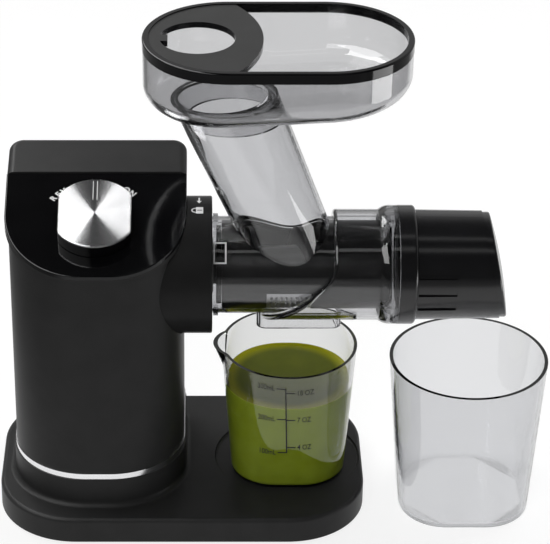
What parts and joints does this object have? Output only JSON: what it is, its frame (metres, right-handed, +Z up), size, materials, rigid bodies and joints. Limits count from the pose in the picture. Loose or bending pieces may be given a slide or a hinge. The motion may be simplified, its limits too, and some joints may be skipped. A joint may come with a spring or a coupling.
{
  "type": "slow juicer",
  "caption": "Horizontal slow juicer: D-shaped motor tower on a base, auger in a clear drum with slanted chute, oval hopper, end cap, juice cup and pulp cup.",
  "frame": {"origin": "middle of the footprint box of juicer and cups, on the table", "axes": "+X along the drum away from the tower, +Y to the back, +Z up; the front with the knob faces -Y"},
  "size_m": [0.3402, 0.143, 0.3106],
  "materials": {
    "matt_black": "fine matt texture",
    "gloss_black": "polished",
    "inner_black": "satin",
    "smoky_clear": "clear, smoky",
    "clear": "clear",
    "bright_trim": "bright",
    "spun_metal": "spun",
    "steel": "plain",
    "screw_steel": "zinc plated",
    "motor_steel": "zinc plated can",
    "plate_metal": "pressed sheet",
    "bush_brass": "sintered",
    "gear_plastic": "natural nylon",
    "soft_black": "matt rubber",
    "soft_white": "silicone",
    "board_green": "coated board"
  },
  "bodies": {
    "stand": {"base_plate": "matt_black", "bottom_cover": "matt_black", "base_feet": "soft_black", "cover_screws": "screw_steel", "tower_screws": "screw_steel", "gearbox_screws": "screw_steel", "trim_ring": "bright_trim", "tower_shell": "matt_black", "control_panel": "gloss_black", "cord_gland": "matt_black", "control_board": "board_green", "drum_socket": "matt_black", "socket_screws": "screw_steel", "shaft_seal": "soft_black", "gearbox_back_plate": "plate_metal", "gearbox_front_plate": "plate_metal", "gearbox_spacers": "plate_metal", "drive_bush_back": "bush_brass", "drive_bush_front": "bush_brass", "motor": "motor_steel", "motor_screws": "screw_steel", "idler_pin": "steel", "rotary_switch": "inner_black", "switch_nut": "steel"},
    "knob": {"knob_body": "gloss_black", "knob_face": "spun_metal", "switch_spindle": "steel"},
    "rotor": {"motor_shaft": "steel", "motor_pinion": "steel"},
    "idler": {"idler_gear": "gear_plastic"},
    "screw_drive": {"output_gear": "gear_plastic", "drive_shaft": "steel", "auger": "inner_black"},
    "drum": {"juicing_drum": "smoky_clear", "drum_seal": "soft_white", "strainer_frame": "inner_black", "strainer_mesh": "steel", "cap_seal": "soft_white"},
    "end_cap": {"end_cap": "gloss_black"},
    "hopper": {"hopper_tray": "clear"},
    "hopper_lid": {"hopper_lid": "gloss_black"},
    "juice_cup": {"juice_cup": "clear"},
    "pulp_cup": {"pulp_cup": "smoky_clear"}
  },
  "joints": [
    {"name": "knob_turn", "type": "hinge", "parent": "stand", "child": "knob", "pos_m": [-0.10737, -0.0176, 0.19614], "axis": [0, -0.3624, 0.932], "range_deg": [-40, 40]},
    {"name": "drive_spin", "type": "hinge", "parent": "stand", "child": "screw_drive", "pos_m": [-0.10737, 0, 0.1582], "axis": [1, 0, 0], "continuous": true},
    {"name": "idler_spin", "type": "hinge", "parent": "stand", "child": "idler", "pos_m": [-0.10737, 0, 0.11445], "axis": [1, 0, 0], "continuous": true},
    {"name": "rotor_spin", "type": "hinge", "parent": "stand", "child": "rotor", "pos_m": [-0.10737, 0, 0.08365], "axis": [1, 0, 0], "continuous": true},
    {"name": "drum_twist", "type": "hinge", "parent": "stand", "child": "drum", "pos_m": [-0.10737, 0, 0.1582], "axis": [1, 0, 0], "range_deg": [-45, 0]},
    {"name": "cap_turn", "type": "hinge", "parent": "drum", "child": "end_cap", "pos_m": [-0.10737, 0, 0.1582], "axis": [1, 0, 0], "range_deg": [0, 60]},
    {"name": "hopper_lift", "type": "slide", "parent": "drum", "child": "hopper", "axis": [-0.3827, 0, 0.9239], "range_m": [0, 0.06]},
    {"name": "lid_lift", "type": "slide", "parent": "hopper", "child": "hopper_lid", "axis": [0, 0, 1], "range_m": [0, 0.06]},
    {"name": "juice_cup_removal", "type": "slide", "parent": "stand", "child": "juice_cup", "axis": [0, -0.9744, 0.225], "range_m": [0, 0.16]},
    {"name": "pulp_cup_removal", "type": "slide", "parent": "stand", "child": "pulp_cup", "axis": [0, -1, 0], "range_m": [0, 0.16]}
  ],
  "couplings": [
    {"joint": "idler_spin", "follows": "drive_spin", "ratio": -4},
    {"joint": "rotor_spin", "follows": "drive_spin", "ratio": 18}
  ]
}
